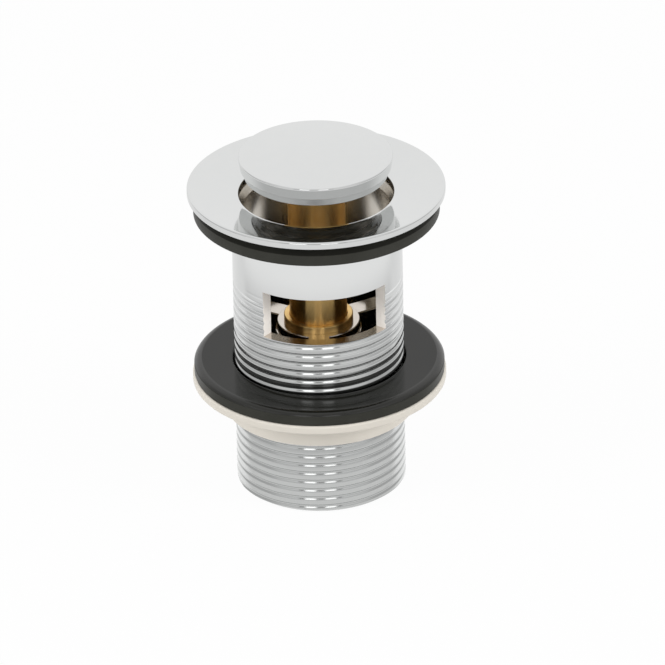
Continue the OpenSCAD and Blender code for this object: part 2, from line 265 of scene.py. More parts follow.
class Graph:
    """Builds one node tree, for a finish or for a shape made by a rule."""

    def __init__(self, tree):
        self.tree = tree
        tree.nodes.clear()

    def join(self, socket, value):
        if isinstance(value, Wire):
            self.tree.links.new(value.socket, socket)
        else:
            socket.default_value = value

    def add(self, kind, settings=None, inputs=(), out=0):
        made = self.tree.nodes.new(kind)
        for key, value in (settings or {}).items():
            setattr(made, key, value)
        pairs = inputs.items() if isinstance(inputs, dict) else enumerate(inputs)
        for key, value in pairs:
            self.join(made.inputs[key], value)
        return Wire(self, made.outputs[out]) if made.outputs else made

    def split(self, place):
        """The x, y and z of a place or a direction."""
        parts = self.add("ShaderNodeSeparateXYZ", None, {"Vector": place}).socket.node
        return [Wire(self, part) for part in parts.outputs]

    def noise(self, place, scale, detail):
        return self.add(
            "ShaderNodeTexNoise", None, {"Vector": place, "Scale": scale, "Detail": detail}
        )

    def tint(self, share, first, second):
        """A colour between two others."""
        return self.add(
            "ShaderNodeMix", {"data_type": "RGBA"}, {0: share, 6: (*first, 1.0), 7: (*second, 1.0)}, out=2
        )

    def bump(self, height, depth, strength):
        return self.add(
            "ShaderNodeBump", None, {"Height": height, "Distance": depth, "Strength": strength}
        )


# Finishes


def start_finish(name):
    material = bpy.data.materials.new(name)
    material.use_nodes = True
    graph = Graph(material.node_tree)
    place = graph.add("ShaderNodeTexCoord", out="Object")
    return material, graph, place


def end_finish(graph, inputs):
    shader = graph.add("ShaderNodeBsdfPrincipled", None, inputs)
    graph.add("ShaderNodeOutputMaterial", None, {"Surface": shader})


def turned_place(graph, place):
    """Radius and height, so that a pattern runs round the axis as tool marks do."""
    x, y, z = graph.split(place)
    return graph.add("ShaderNodeCombineXYZ", None, (from_axis(x, y), 0.0, z))


def from_axis(x, y):
    return (x * x + y * y).math("SQRT")


def mirror_chrome():
    """Plated and polished, with the slight swell of the casting under it."""
    material, graph, place = start_finish("mirror_chrome")
    swell = graph.noise(place, 70.0, 1.0)
    haze = graph.noise(place, 260.0, 3.0)
    specks = graph.noise(place, 2600.0, 2.0)
    end_finish(graph, {
        "Base Color": graph.tint(haze, (0.765, 0.775, 0.772), (0.788, 0.794, 0.788)),
        "Metallic": 1.0,
        "Roughness": 0.03 + 0.05 * haze.smooth(0.35, 0.8) + 0.03 * specks.smooth(0.6, 0.8),
        "Normal": graph.bump(swell + 0.002 * specks, 0.00006, 0.5),
    })
    return material


def thread_chrome_painted_shade():
    """The same plate over cut threads, darker towards the bottom, which is painted shade for the dimmer
    surround that the lower threads mirror.
    """
    material, graph, place = start_finish("thread_chrome_painted_shade")
    drag = graph.noise(turned_place(graph, place), 3200.0, 2.0)
    haze = graph.noise(place, 420.0, 3.0)
    height = graph.split(place)[2]
    # Painted shade: the plate darkens towards the bottom of the thread, with a random haze.
    thread_light_share = height.smooth(0.028, 0.054) + 0.12 * (haze - 0.5)
    end_finish(graph, {
        "Base Color": graph.tint(thread_light_share, (0.600, 0.610, 0.605), (0.772, 0.781, 0.777)),
        "Metallic": 1.0,
        "Roughness": 0.10 + 0.02 * haze + 0.02 * drag,
        "Normal": graph.bump(drag, 0.000002, 0.25),
    })
    return material


def recess_chrome_painted_shade():
    """Plate in a recess, rougher as it came from the bath, and darker in colour, which is painted shade in
    the recess.
    """
    material, graph, place = start_finish("recess_chrome_painted_shade")
    drag = graph.noise(turned_place(graph, place), 2600.0, 2.0)
    haze = graph.noise(place, 300.0, 3.0)
    end_finish(graph, {
        # Painted shade: a darker plate than the mirror plate.
        "Base Color": graph.tint(haze, (0.580, 0.590, 0.585), (0.640, 0.648, 0.642)),
        "Metallic": 1.0,
        "Roughness": 0.12 + 0.06 * haze + 0.03 * drag,
        "Normal": graph.bump(drag, 0.000003, 0.3),
    })
    return material


def satin_nickel():
    """Thin warm plate on a cast skin."""
    material, graph, place = start_finish("satin_nickel")
    skin = graph.noise(place, 1500.0, 4.0)
    cloud = graph.noise(place, 180.0, 3.0)
    end_finish(graph, {
        "Base Color": graph.tint(cloud, (0.675, 0.632, 0.563), (0.715, 0.678, 0.612)),
        "Metallic": 0.30,
        "Roughness": 0.38 + 0.12 * cloud + 0.08 * skin,
        "Normal": graph.bump(skin, 0.000012, 0.5),
    })
    return material


def bright_nickel():
    """The warm plate on faces that were milled smooth first."""
    material, graph, place = start_finish("bright_nickel")
    mill = graph.noise(place, 900.0, 2.0)
    cloud = graph.noise(place, 220.0, 3.0)
    end_finish(graph, {
        "Base Color": graph.tint(cloud, (0.700, 0.640, 0.575), (0.745, 0.690, 0.620)),
        "Metallic": 1.0,
        "Roughness": 0.12 + 0.06 * cloud + 0.04 * mill,
        "Normal": graph.bump(mill, 0.000004, 0.4),
    })
    return material


def window_side_painted_light():
    """The warm plate on the sides of the windows, cut with a saw and left matt, and near white, which is
    painted light for the bright reflections on those sides.
    """
    material, graph, place = start_finish("window_side_painted_light")
    saw = graph.noise(
        graph.add("ShaderNodeMapping", None, {"Vector": place, "Scale": (1.0, 1.0, 0.1)}), 1400.0, 3.0
    )
    cloud = graph.noise(place, 200.0, 3.0)
    end_finish(graph, {
        # Painted light: near white, brighter than the nut's plate.
        "Base Color": graph.tint(cloud, (0.940, 0.890, 0.830), (0.960, 0.920, 0.870)),
        "Metallic": 0.05,
        "Roughness": 0.36 + 0.10 * cloud + 0.06 * saw,
        "Normal": graph.bump(saw, 0.000008, 0.4),
    })
    return material


def bore_plate_painted_shade():
    """Thin plate inside the tube, drawn along by the boring tool, and darker lower down, which is painted
    shade for the dark inside of the tube.
    """
    material, graph, place = start_finish("bore_plate_painted_shade")
    height = graph.split(place)[2]
    streak = graph.noise(
        graph.add("ShaderNodeMapping", None, {"Vector": place, "Scale": (1.0, 1.0, 0.04)}), 900.0, 3.0
    )
    cloud = graph.noise(place, 160.0, 3.0)
    # Painted shade: dark low in the tube, pale near the throat.
    bore_light_share = height.smooth(0.056, 0.074) + 0.10 * (cloud - 0.5)
    end_finish(graph, {
        "Base Color": graph.tint(bore_light_share, (0.400, 0.375, 0.320), (0.860, 0.810, 0.735)),
        "Metallic": 1.0,
        "Roughness": 0.11 + 0.07 * bore_light_share + 0.06 * cloud + 0.06 * streak,
        "Normal": graph.bump(streak, 0.000008, 0.6),
    })
    return material


def turned_brass():
    """Bar stock off the lathe, with its feed lines and a little tarnish."""
    material, graph, place = start_finish("turned_brass")
    lines = turned_place(graph, place)
    feed = graph.noise(lines, 4200.0, 2.0)
    band = graph.noise(lines, 600.0, 2.0)
    stain = graph.noise(place, 240.0, 4.0)
    end_finish(graph, {
        "Base Color": graph.tint(stain.smooth(0.35, 0.75), (0.900, 0.620, 0.255), (0.820, 0.535, 0.195)),
        "Metallic": 1.0,
        "Roughness": 0.25 + 0.08 * band + 0.06 * stain,
        "Anisotropic": 0.95,
        "Anisotropic Rotation": 0.25,
        "Normal": graph.bump(feed, 0.000003, 0.4),
    })
    return material


def black_rubber(name, dark, light, sheen, matt):
    """Moulded ring with a fine matt skin and a trace of bloom."""
    material, graph, place = start_finish(name)
    skin = graph.noise(place, 2400.0, 3.0)
    bloom = graph.noise(place, 130.0, 4.0)
    end_finish(graph, {
        "Base Color": graph.tint(bloom.smooth(0.3, 0.8), dark, light),
        "Roughness": matt + 0.10 * bloom + 0.06 * skin,
        "Specular IOR Level": sheen,
        "Normal": graph.bump(skin, 0.000010, 0.45),
    })
    return material


def drawn_steel():
    """Bright steel, drawn or turned."""
    material, graph, place = start_finish("drawn_steel")
    drag = graph.noise(turned_place(graph, place), 3000.0, 2.0)
    cloud = graph.noise(place, 300.0, 3.0)
    end_finish(graph, {
        "Base Color": graph.tint(cloud, (0.540, 0.545, 0.550), (0.620, 0.620, 0.615)),
        "Metallic": 1.0,
        "Roughness": 0.20 + 0.12 * cloud + 0.05 * drag,
        "Normal": graph.bump(drag, 0.000004, 0.4),
    })
    return material


def white_acetal():
    """Moulded slippery plastic with a faint flow pattern."""
    material, graph, place = start_finish("white_acetal")
    flow = graph.noise(place, 220.0, 3.0)
    skin = graph.noise(place, 2000.0, 2.0)
    end_finish(graph, {
        "Base Color": graph.tint(flow, (0.760, 0.745, 0.690), (0.820, 0.805, 0.760)),
        "Roughness": 0.32 + 0.10 * flow,
        "Normal": graph.bump(skin, 0.000006, 0.4),
    })
    return material


chrome = mirror_chrome()
threaded = thread_chrome_painted_shade()
recess_shade_chrome = recess_chrome_painted_shade()
nickel = satin_nickel()
milled = bright_nickel()
window_side_light = window_side_painted_light()
bore = bore_plate_painted_shade()
brass = turned_brass()
BLACK = ((0.0045, 0.0045, 0.0028), (0.0070, 0.0070, 0.0048))
rubber = black_rubber("black_rubber", (0.0070, 0.0070, 0.0052), (0.0100, 0.0100, 0.0078), 0.08, 0.30)
# A lighter copy of the black rubber for the sides of the rings: painted light.
lit_side_rubber = black_rubber("side_rubber_painted_light", (0.0270, 0.0270, 0.0222), (0.0330, 0.0330, 0.0278), 0.15, 0.30)
grey = black_rubber("grey_rubber", (0.075, 0.075, 0.065), (0.095, 0.095, 0.083), 0.70, 0.14)
wiped = black_rubber("wiped_rubber", *BLACK, 0.27, 0.05)
polished = black_rubber("polished_rubber", *BLACK, 0.60, 0.12)
steel = drawn_steel()
acetal = white_acetal()


# Shapes


def rounded(corners, closed=True):
    """Points of a profile whose corners (radius, height, rounding) are rounded off."""
    count = len(corners)
    points = []
    for i, (r, z, rounding) in enumerate(corners):
        here = Vector((r, z))
        if rounding <= 0 or (not closed and i in (0, count - 1)):
            points.append(here)
            continue
        before = (Vector(corners[i - 1][:2]) - here).normalized()
        after = (Vector(corners[(i + 1) % count][:2]) - here).normalized()
        half = before.angle(after) / 2
        along = rounding / math.tan(half)
        centre = here + (before + after).normalized() * (rounding / math.sin(half))
        first = here + before * along - centre
        last = here + after * along - centre
        sweep = first.angle_signed(last)
        for k in range(ROUND_STEPS + 1):
            points.append(centre + Matrix.Rotation(-sweep * k / ROUND_STEPS, 2) @ first)
    return points


def turn(target, points, steps, material=0, closed=True):
    """Spins a profile about the axis into target."""
    rings = []
    for p in points:
        if p.x < ON_AXIS:
            rings.append([target.verts.new((0.0, 0.0, p.y))] * steps)
            continue
        rings.append([
            target.verts.new((
                p.x * math.cos(math.tau * k / steps), p.x * math.sin(math.tau * k / steps), p.y
            ))
            for k in range(steps)
        ])
    pairs = list(zip(rings, rings[1:]))
    if closed:
        pairs.append((rings[-1], rings[0]))
    for a, b in pairs:
        for k in range(steps):
            n = (k + 1) % steps
            corners = []
            for v in (a[k], a[n], b[n], b[k]):
                if v not in corners:
                    corners.append(v)
            if len(corners) > 2:
                target.faces.new(corners).material_index = material


def turned(corners, steps=LARGE_STEPS):
    """A mesh spun from a closed profile."""
    shape = bmesh.new()
    turn(shape, rounded(corners), steps)
    return shape


def as_object(name, shape, materials):
    """Closes a shape's seams, points its faces outwards and makes it an object in millimetres."""
    bmesh.ops.remove_doubles(shape, verts=shape.verts, dist=1e-5)
    bmesh.ops.recalc_face_normals(shape, faces=shape.faces)
    mesh = bpy.data.meshes.new(name)
    shape.to_mesh(mesh)
    shape.free()
    for material in materials:
        mesh.materials.append(material)
    thing = bpy.data.objects.new(name, mesh)
    bpy.context.collection.objects.link(thing)
    return thing


def settle(thing):
    """Turns an object's modifiers into plain mesh."""
    bpy.context.view_layer.update()
    seen = thing.evaluated_get(bpy.context.evaluated_depsgraph_get())
    mesh = bpy.data.meshes.new_from_object(seen)
    thing.modifiers.clear()
    old = thing.data
    thing.data = mesh
    bpy.data.meshes.remove(old)


def point_outwards(thing):
    shape = bmesh.new()
    shape.from_mesh(thing.data)
    bmesh.ops.recalc_face_normals(shape, faces=shape.faces)
    shape.to_mesh(thing.data)
    shape.free()


def under_flange(r):
    """Height of the flange's underside at a radius."""
    return FLANGE_LOW - (FLANGE_LOW - FLANGE_ROOT) * (FLANGE_R - r) / (FLANGE_R - TUBE_R)


def dish():
    """Points of the flange's top from the rim in: nearly straight, then steeper at the hole."""
    hole_slope, step_slope, end_slope = DISH_SLOPES
    points = []
    for k in range(DISH_STEPS + 1):
        run = (DISH_STEP_R - HOLE_R) * k / DISH_STEPS
        bend = (step_slope - hole_slope) / (DISH_STEP_R - HOLE_R)
        points.append((HOLE_R + run, HOLE_Z + hole_slope * run + bend * run * run / 2, 0))
    step_z = points[-1][1]
    for k in range(1, DISH_STEPS + 1):
        run = (DISH_END_R - DISH_STEP_R) * k / DISH_STEPS
        bend = (end_slope - step_slope) / (DISH_END_R - DISH_STEP_R)
        points.append((DISH_STEP_R + run, step_z + step_slope * run + bend * run * run / 2, 0))
    return points[::-1]


def combine(thing, other, operation):
    """Cuts other out of thing, or makes the two one solid."""
    step = thing.modifiers.new("combine", "BOOLEAN")
    step.operation = operation
    step.solver = "EXACT"
    step.material_mode = "TRANSFER"
    step.object = other
    settle(thing)
    bpy.data.objects.remove(other)


def finished(name, thing, body, slot, *nodes):
    """Brings a shape to metres, sets its shading and joins it to the frame."""
    mesh = thing.data
    mesh.transform(Matrix.Scale(MM, 4))
    mesh.polygons.foreach_set("use_smooth", [True] * len(mesh.polygons))
    mesh.set_sharp_from_angle(angle=CREASE)
    flats = thing.modifiers.new("flats", "WEIGHTED_NORMAL")
    flats.keep_sharp = True
    flats.weight = 60
    settle(thing)
    thing.name = name
    thing.data.name = name
    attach(thing, body)
    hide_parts(*nodes)


# Shapes made by a rule


def start_rule(name, sizes):
    """A Geometry Nodes tree with named inputs, and a wire for each of them."""
    tree = bpy.data.node_groups.new(name, "GeometryNodeTree")
    graph = Graph(tree)
    for label, kind in sizes:
        tree.interface.new_socket(label, in_out="INPUT", socket_type="NodeSocket" + kind)
    tree.interface.new_socket("Made", in_out="OUTPUT", socket_type="NodeSocketGeometry")
    given = tree.nodes.new("NodeGroupInput")
    return tree, graph, {label: Wire(graph, given.outputs[label]) for label, kind in sizes}


def end_rule(graph, made, material, selection=None):
    real = graph.add("GeometryNodeRealizeInstances", None, {"Geometry": made})
    inputs = {"Geometry": real, "Material": material}
    if selection:
        inputs["Selection"] = selection
    graph.add("NodeGroupOutput", None, {"Made": graph.add("GeometryNodeSetMaterial", None, inputs)})


def grow(thing, tree, values):
    """Runs a tree on an object and keeps the mesh that it makes."""
    step = thing.modifiers.new("rule", "NODES")
    step.node_group = tree
    for item in tree.interface.items_tree:
        if item.in_out == "INPUT" and item.name in values:
            step[item.identifier] = values[item.name]
    settle(thing)


def thread_rule():
    """A threaded skin whose rows follow the helix, joined to the piece that it is grown on."""
    tree, graph, given = start_rule("thread_rule", [
        ("Piece", "Geometry"), ("Radius", "Float"), ("Depth", "Float"), ("Pitch", "Float"),
        ("Low", "Float"), ("Turns", "Int"), ("Rows per turn", "Int"), ("Columns", "Int"),
        ("Start", "Float"), ("Lead in", "Float"), ("Lead in depth", "Float"), ("Groove in", "Float"),
        ("Run out", "Float"), ("Root", "Float"), ("Crest", "Float"), ("Finish", "Material"),
    ])
    turns = given["Turns"]
    high = given["Low"] + turns * given["Pitch"]
    grid = graph.add("GeometryNodeMeshGrid", None, {
        "Size X": 1.0, "Size Y": 1.0, "Vertices X": given["Columns"] + 1,
        "Vertices Y": (turns + 1) * given["Rows per turn"] + 1,
    })
    across, up = graph.split(graph.add("GeometryNodeInputPosition"))[:2]
    round_share = across + 0.5
    row_share = up + 0.5
    free_z = given["Low"] + given["Pitch"] * (row_share * (turns + 1) + round_share - 1.0)
    z = free_z.math("MAXIMUM", given["Low"]).math("MINIMUM", high)
    along = ((z - given["Low"]) / given["Pitch"] - round_share + given["Start"]).math("FRACT")
    from_root = (2.0 * along - 1.0).math("ABSOLUTE")
    groove = 1.0 - from_root.smooth(given["Root"], 1.0 - given["Crest"])
    lead_in = ((z - given["Low"]) / given["Lead in"]).math("MINIMUM", 1.0)
    fade_in = ((z - given["Low"]) / given["Groove in"]).math("MINIMUM", 1.0)
    fade_out = (high - z - THREAD_END).smooth(0.0, given["Run out"])
    radius = (
        given["Radius"] - given["Lead in depth"] * (1.0 - lead_in)
        - given["Depth"] * groove * fade_in * fade_out
    )
    angle = round_share * math.tau
    place = graph.add(
        "ShaderNodeCombineXYZ", None, (radius * angle.math("COSINE"), radius * angle.math("SINE"), z)
    )
    skin = graph.add("GeometryNodeSetPosition", None, {"Geometry": grid, "Position": place})
    marked = graph.add(
        "GeometryNodeStoreNamedAttribute", {"data_type": "BOOLEAN", "domain": "FACE"},
        {"Geometry": skin, "Name": "thread_skin", "Value": True},
    )
    both = graph.tree.nodes.new("GeometryNodeJoinGeometry")
    for part in (marked, given["Piece"]):
        graph.tree.links.new(part.socket, both.inputs[0])
    whole = graph.add(
        "GeometryNodeMergeByDistance", None,
        {"Geometry": Wire(graph, both.outputs[0]), "Distance": 0.002},
    )
    chosen = graph.add("GeometryNodeInputNamedAttribute", {"data_type": "BOOLEAN"}, {"Name": "thread_skin"})
    end_rule(graph, whole, given["Finish"], chosen)
    return tree


def coil_rule():
    """A round wire wound in open turns between two closed end turns."""
    tree, graph, given = start_rule("coil_rule", [
        ("Piece", "Geometry"), ("Radius", "Float"), ("Wire", "Float"), ("Low", "Float"),
        ("Height", "Float"), ("Open turns", "Int"), ("Closed pitch", "Float"),
        ("Steps per turn", "Int"), ("Sides", "Int"), ("Finish", "Material"),
    ])
    turns = given["Open turns"] + 2.0
    line = graph.add("GeometryNodeCurvePrimitiveLine", {"mode": "POINTS"}, {"End": (0.0, 0.0, 1.0)})
    fine = graph.add(
        "GeometryNodeResampleCurve", {"mode": "COUNT"},
        {"Curve": line, "Count": turns * given["Steps per turn"] + 1.0},
    )
    share = graph.add("GeometryNodeSplineParameter", out="Factor")
    wound = share * turns
    first = wound.math("MINIMUM", 1.0)
    last = (wound - turns + 1.0).math("MAXIMUM", 0.0)
    closed = given["Closed pitch"] * (first + last)
    open_pitch = (given["Height"] - 2.0 * given["Closed pitch"]) / given["Open turns"]
    z = given["Low"] + closed + open_pitch * (wound - first - last)
    angle = wound * math.tau
    place = graph.add("ShaderNodeCombineXYZ", None, (
        given["Radius"] * angle.math("COSINE"), given["Radius"] * angle.math("SINE"), z,
    ))
    helix = graph.add("GeometryNodeSetPosition", None, {"Geometry": fine, "Position": place})
    section = graph.add(
        "GeometryNodeCurvePrimitiveCircle", None,
        {"Resolution": given["Sides"], "Radius": given["Wire"] * 0.5},
    )
    made = graph.add(
        "GeometryNodeCurveToMesh", None,
        {"Curve": helix, "Profile Curve": section, "Fill Caps": True},
    )
    end_rule(graph, made, given["Finish"])
    return tree


threads = thread_rule()
coils = coil_rule()


def grow_fine_thread(thing, radius, low, turns, neck, finish):
    """A screw thread on a small piece, led in from a neck of less radius."""
    grow(thing, threads, {
        "Radius": radius, "Depth": FINE_DEPTH, "Pitch": FINE_PITCH, "Low": low, "Turns": turns,
        "Rows per turn": FINE_ROWS, "Columns": SMALL_STEPS, "Lead in": 0.5, "Lead in depth": neck,
        "Groove in": 0.5, "Run out": 0.8, "Root": 0.15, "Crest": 0.2, "Finish": finish,
    })


# Waste body: tube, flange, windows and spider


def window_cutter():
    """Two wedges of space with radial sides."""
    shape = bmesh.new()
    for side in (0.0, math.pi):
        middle = -math.pi / 2 + WINDOW_TURN + side
        turns = [middle + WINDOW_SPAN * (k / WINDOW_STEPS - 0.5) for k in range(WINDOW_STEPS + 1)]
        places = [(WINDOW_NEAR_R, turns[0]), *((WINDOW_FAR_R, a) for a in turns), (WINDOW_NEAR_R, turns[-1])]
        outline = [(r * math.cos(a), r * math.sin(a)) for r, a in places]
        low = [shape.verts.new((x, y, WINDOW_LOW)) for x, y in outline]
        high = [shape.verts.new((x, y, WINDOW_HIGH)) for x, y in outline]
        shape.faces.new(low).material_index = 1
        shape.faces.new(high).material_index = 1
        for k in range(len(outline)):
            n = (k + 1) % len(outline)
            shape.faces.new((low[k], low[n], high[n], high[k]))
    # The window sides take the near-white plate, which is painted light.
    return as_object("window_cutter", shape, [window_side_light, milled])


def spider():
    """The hub and its three arms, with the soft edges of a casting."""
    hub = turned([
        (HUB_BORE_R, HUB_LOW, 0.3), (HUB_FOOT_R, HUB_LOW, 0.5), (HUB_FOOT_R, HUB_FACE, 0.2),
        (HUB_R, HUB_FACE, 0.1), (HUB_R, HUB_TOP, 0.25), (HUB_BORE_R, HUB_TOP, 0.2),
    ], SMALL_STEPS)
    whole = as_object("spider", hub, [milled])
    half = ARM_W / 2
    for k in range(3):
        shape = bmesh.new()
        section = rounded([
            (-half, ARM_LOW, 0.6), (half, ARM_LOW, 0.6), (half, ARM_TOP, 0.35), (-half, ARM_TOP, 0.35),
        ])
        ends = [[shape.verts.new((x, p.x, p.y)) for p in section] for x in (ARM_ROOT, ARM_REACH)]
        for end in ends:
            shape.faces.new(end)
        for i in range(len(section)):
            n = (i + 1) % len(section)
            shape.faces.new((ends[0][i], ends[0][n], ends[1][n], ends[1][i]))
        bmesh.ops.rotate(
            shape, verts=shape.verts, matrix=Matrix.Rotation(-math.pi / 2 + math.tau * k / 3, 3, "Z")
        )
        combine(whole, as_object("arm", shape, [milled]), "UNION")
    return whole


def waste_body():
    shape = bmesh.new()
    skin_top = PIPE_TURNS * PIPE_PITCH
    top = dish()
    rim_z = top[0][1] + DISH_SLOPES[2] * (FLANGE_R - DISH_END_R)
    outside = rounded([
        (TUBE_R, skin_top, 0), (TUBE_R, FLANGE_ROOT, 0.5), (FLANGE_R, FLANGE_LOW, 0.25),
        (FLANGE_R, rim_z, 0.5), *top[:-2], (HOLE_R, HOLE_Z, 0.2), (HOLE_R, MOUTH_Z + MOUTH_SEAM, 0),
    ], closed=False)
    inside = rounded([
        (HOLE_R, MOUTH_Z + MOUTH_SEAM, 0), (HOLE_R, MOUTH_Z, 0.2), (CHAMBER_R, SEAT_Z, 0.3),
        (CHAMBER_R, OUTLET_DEPTH, 0), (OUTLET_R, OUTLET_DEPTH, 0), (OUTLET_R, 0.0, 0.3),
        (TUBE_R - END_CHAMFER, 0.0, 0),
    ], closed=False)
    turn(shape, outside, LARGE_STEPS, 0, closed=False)
    turn(shape, inside, LARGE_STEPS, 1, closed=False)
    # The inside takes the bore's plate and the thread skin the thread's plate, both darker lower down as
    # painted shade.
    body = as_object("waste_body", shape, [chrome, bore, threaded])
    grow(body, threads, {
        "Radius": TUBE_R, "Depth": PIPE_DEPTH, "Pitch": PIPE_PITCH, "Low": 0.0, "Turns": PIPE_TURNS,
        "Rows per turn": PIPE_ROWS, "Columns": LARGE_STEPS, "Start": PIPE_START, "Lead in": END_CHAMFER_H,
        "Lead in depth": END_CHAMFER, "Groove in": PIPE_GROOVE_IN, "Run out": PIPE_RUN_OUT, "Root": 0.0,
        "Crest": PIPE_CREST, "Finish": threaded,
    })
    point_outwards(body)
    combine(body, window_cutter(), "DIFFERENCE")
    combine(body, spider(), "UNION")
    finished("waste_tube_and_flange", body, "root", "chrome", "waste_body")


waste_body()


# Plug: cap, its rubber ring, stud and washer


def plug_cap():
    dome_r = CAP_R - CAP_ROUND
    dome = [
        (dome_r * k / DOME_STEPS, CAP_EDGE + CAP_CROWN * (1 - (k / DOME_STEPS) ** 2), 0)
        for k in range(DOME_STEPS)
    ]
    outside = dome + [
        (CAP_R, CAP_EDGE, CAP_ROUND), (CAP_R - CAP_DRAFT, CAP_RIM, 0.22), (LIP_SEAM_R, CAP_RIM, 0),
    ]
    # The inside faces, the lip among them, take the darker recess plate, which is painted shade.
    inside = [
        (LIP_SEAM_R, CAP_RIM, 0), (LIP_R, CAP_RIM, 0.15), (LIP_R, LIP_Z, 0.25), (HOLLOW_R, LIP_Z, 0.15),
        (HOLLOW_R, HOLLOW_Z, 0.5), (BOSS_R, HOLLOW_Z, 0.5), (BOSS_R, BOSS_Z, 0.25),
        (STUD_R + PUSH_FIT, BOSS_Z, 0), (STUD_R + PUSH_FIT, STUD_TOP + STUD_ROOM, 0),
        (0.0, STUD_TOP + STUD_ROOM, 0),
    ]
    shape = bmesh.new()
    turn(shape, rounded(outside, closed=False), LARGE_STEPS, 0, closed=False)
    turn(shape, rounded(inside, closed=False), LARGE_STEPS, 1, closed=False)
    finished("plug_cap_dome", as_object("plug_cap", shape, [chrome, recess_shade_chrome]), "plug", "chrome", "plug_cap")


def cap_seal():
    """A ridged rubber cone that fills the plug's hollow and grips the top of the plunger."""
    inside = HOLLOW_R - PUSH_FIT
    grip = PLUNGER_R + PUSH_FIT
    foot, edge = Vector((SLEEVE_R, SLEEVE_LOW)), Vector((inside, LIP_Z - CAP_SEAL_EDGE))
    ridges = []
    for middle in SEAL_RIDGES:
        for offset, height in ((-RIDGE_HALF_SHARE, 0.0), (0.0, RIDGE_H), (RIDGE_HALF_SHARE, 0.0)):
            r, z = foot.lerp(edge, middle + offset)
            ridges.append((r, z - height, 0.1))
    shape = turned([
        (grip, SLEEVE_LOW, 0.2), (*foot, 0.3), *ridges, (*edge, 0.1), (inside, CAP_SEAL_TOP, 0.2),
        (BOSS_R + PUSH_FIT, CAP_SEAL_TOP, 0.1), (BOSS_R + PUSH_FIT, PLUNGER_TOP, 0.05),
        (grip, PLUNGER_TOP, 0.05),
    ])
    finished("plug_seal_cone", as_object("cap_seal", shape, [grey]), "plug", "rubber", "cap_seal")


def cap_stud():
    shape = bmesh.new()
    low, high = STUD_LOW + STUD_ENDS, STUD_TOP - STUD_ENDS
    neck = STUD_R - STUD_NECK
    turn(shape, rounded([(0.0, STUD_LOW, 0), (neck, STUD_LOW, 0.1), (neck, low, 0)], closed=False),
         SMALL_STEPS, closed=False)
    turn(shape, rounded([(STUD_R, high, 0), (STUD_R, STUD_TOP, 0.3), (0.0, STUD_TOP, 0)], closed=False),
         SMALL_STEPS, closed=False)
    stud = as_object("cap_stud", shape, [steel])
    grow_fine_thread(stud, STUD_R, low, STUD_TURNS, STUD_NECK, steel)
    point_outwards(stud)
    finished("plug_stud", stud, "plug", "steel", "cap_stud")


def stud_washer():
    shape = turned([
        (STUD_R + LOOSE_FIT, PLUNGER_TOP, 0.1), (BOSS_R, PLUNGER_TOP, 0.15), (BOSS_R, BOSS_Z, 0.15),
        (STUD_R + LOOSE_FIT, BOSS_Z, 0.1),
    ], SMALL_STEPS)
    finished("plug_stud_washer", as_object("stud_washer", shape, [acetal]), "plug", "acetal", "stud_washer")


# Click cartridge


def plunger():
    """The brass tube under the plug, closed at its top, with a groove for its ring."""
    groove_r = PLUNGER_R - RING_DEPTH
    shape = bmesh.new()
    turn(shape, rounded([
        (0.0, STUD_LOW - PUSH_FIT, 0), (STUD_R + PUSH_FIT, STUD_LOW - PUSH_FIT, 0),
        (STUD_R + PUSH_FIT, PLUNGER_TOP, 0.1), (PLUNGER_R - PLUNGER_CHAMFER, PLUNGER_TOP, 0.1),
        (PLUNGER_R, PLUNGER_TOP - PLUNGER_CHAMFER, 0.15), (PLUNGER_R, RING_Z + RING_W, 0.05),
        (groove_r, RING_Z + RING_W, 0.1), (groove_r, RING_Z, 0.1), (PLUNGER_R, RING_Z, 0.05),
        (PLUNGER_R, PLUNGER_LOW, 0.25), (PLUNGER_BORE_R, PLUNGER_LOW, 0.25),
        (PLUNGER_BORE_R, PLUNGER_ROOF, 0.3), (0.0, PLUNGER_ROOF, 0),
    ], closed=False), SMALL_STEPS, closed=False)
    tube = as_object("plunger", shape, [brass])
    drill = bmesh.new()
    bmesh.ops.create_cone(
        drill, cap_ends=True, segments=32, radius1=PIN_R + PUSH_FIT, radius2=PIN_R + PUSH_FIT,
        depth=4 * PLUNGER_R,
        matrix=Matrix.Translation((0.0, 0.0, PIN_Z)) @ Matrix.Rotation(math.pi / 2, 4, "Y"),
    )
    combine(tube, as_object("pin_drill", drill, [brass]), "DIFFERENCE")
    finished("plunger_tube", tube, "plug", "brass", "plunger")


def core_barrel():
    """The collared barrel that screws into the spider."""
    low = END_LOW + BARREL_LEAD
    neck = SHANK_R - BARREL_NECK
    shape = bmesh.new()
    turn(shape, rounded([
        (SHANK_R, low + BARREL_TURNS * FINE_PITCH, 0), (SHANK_R, HUB_TOP, 0.04), (COLLAR_R, HUB_TOP, 0.06),
        (COLLAR_R, COLLAR_TOP - COLLAR_CHAMFER, 0.1), (COLLAR_R - COLLAR_CHAMFER, COLLAR_TOP, 0.1),
        (BARREL_BORE_R, COLLAR_TOP, 0.12), (BARREL_BORE_R, END_TOP, 0), (END_BORE_R, END_TOP, 0),
        (END_BORE_R, END_LOW, 0.1), (neck, END_LOW, 0.1), (neck, low, 0),
    ], closed=False), SMALL_STEPS, closed=False)
    barrel = as_object("core_barrel", shape, [brass])
    grow_fine_thread(barrel, SHANK_R, low, BARREL_TURNS, BARREL_NECK, brass)
    point_outwards(barrel)
    finished("cartridge_barrel", barrel, "root", "brass", "core_barrel")


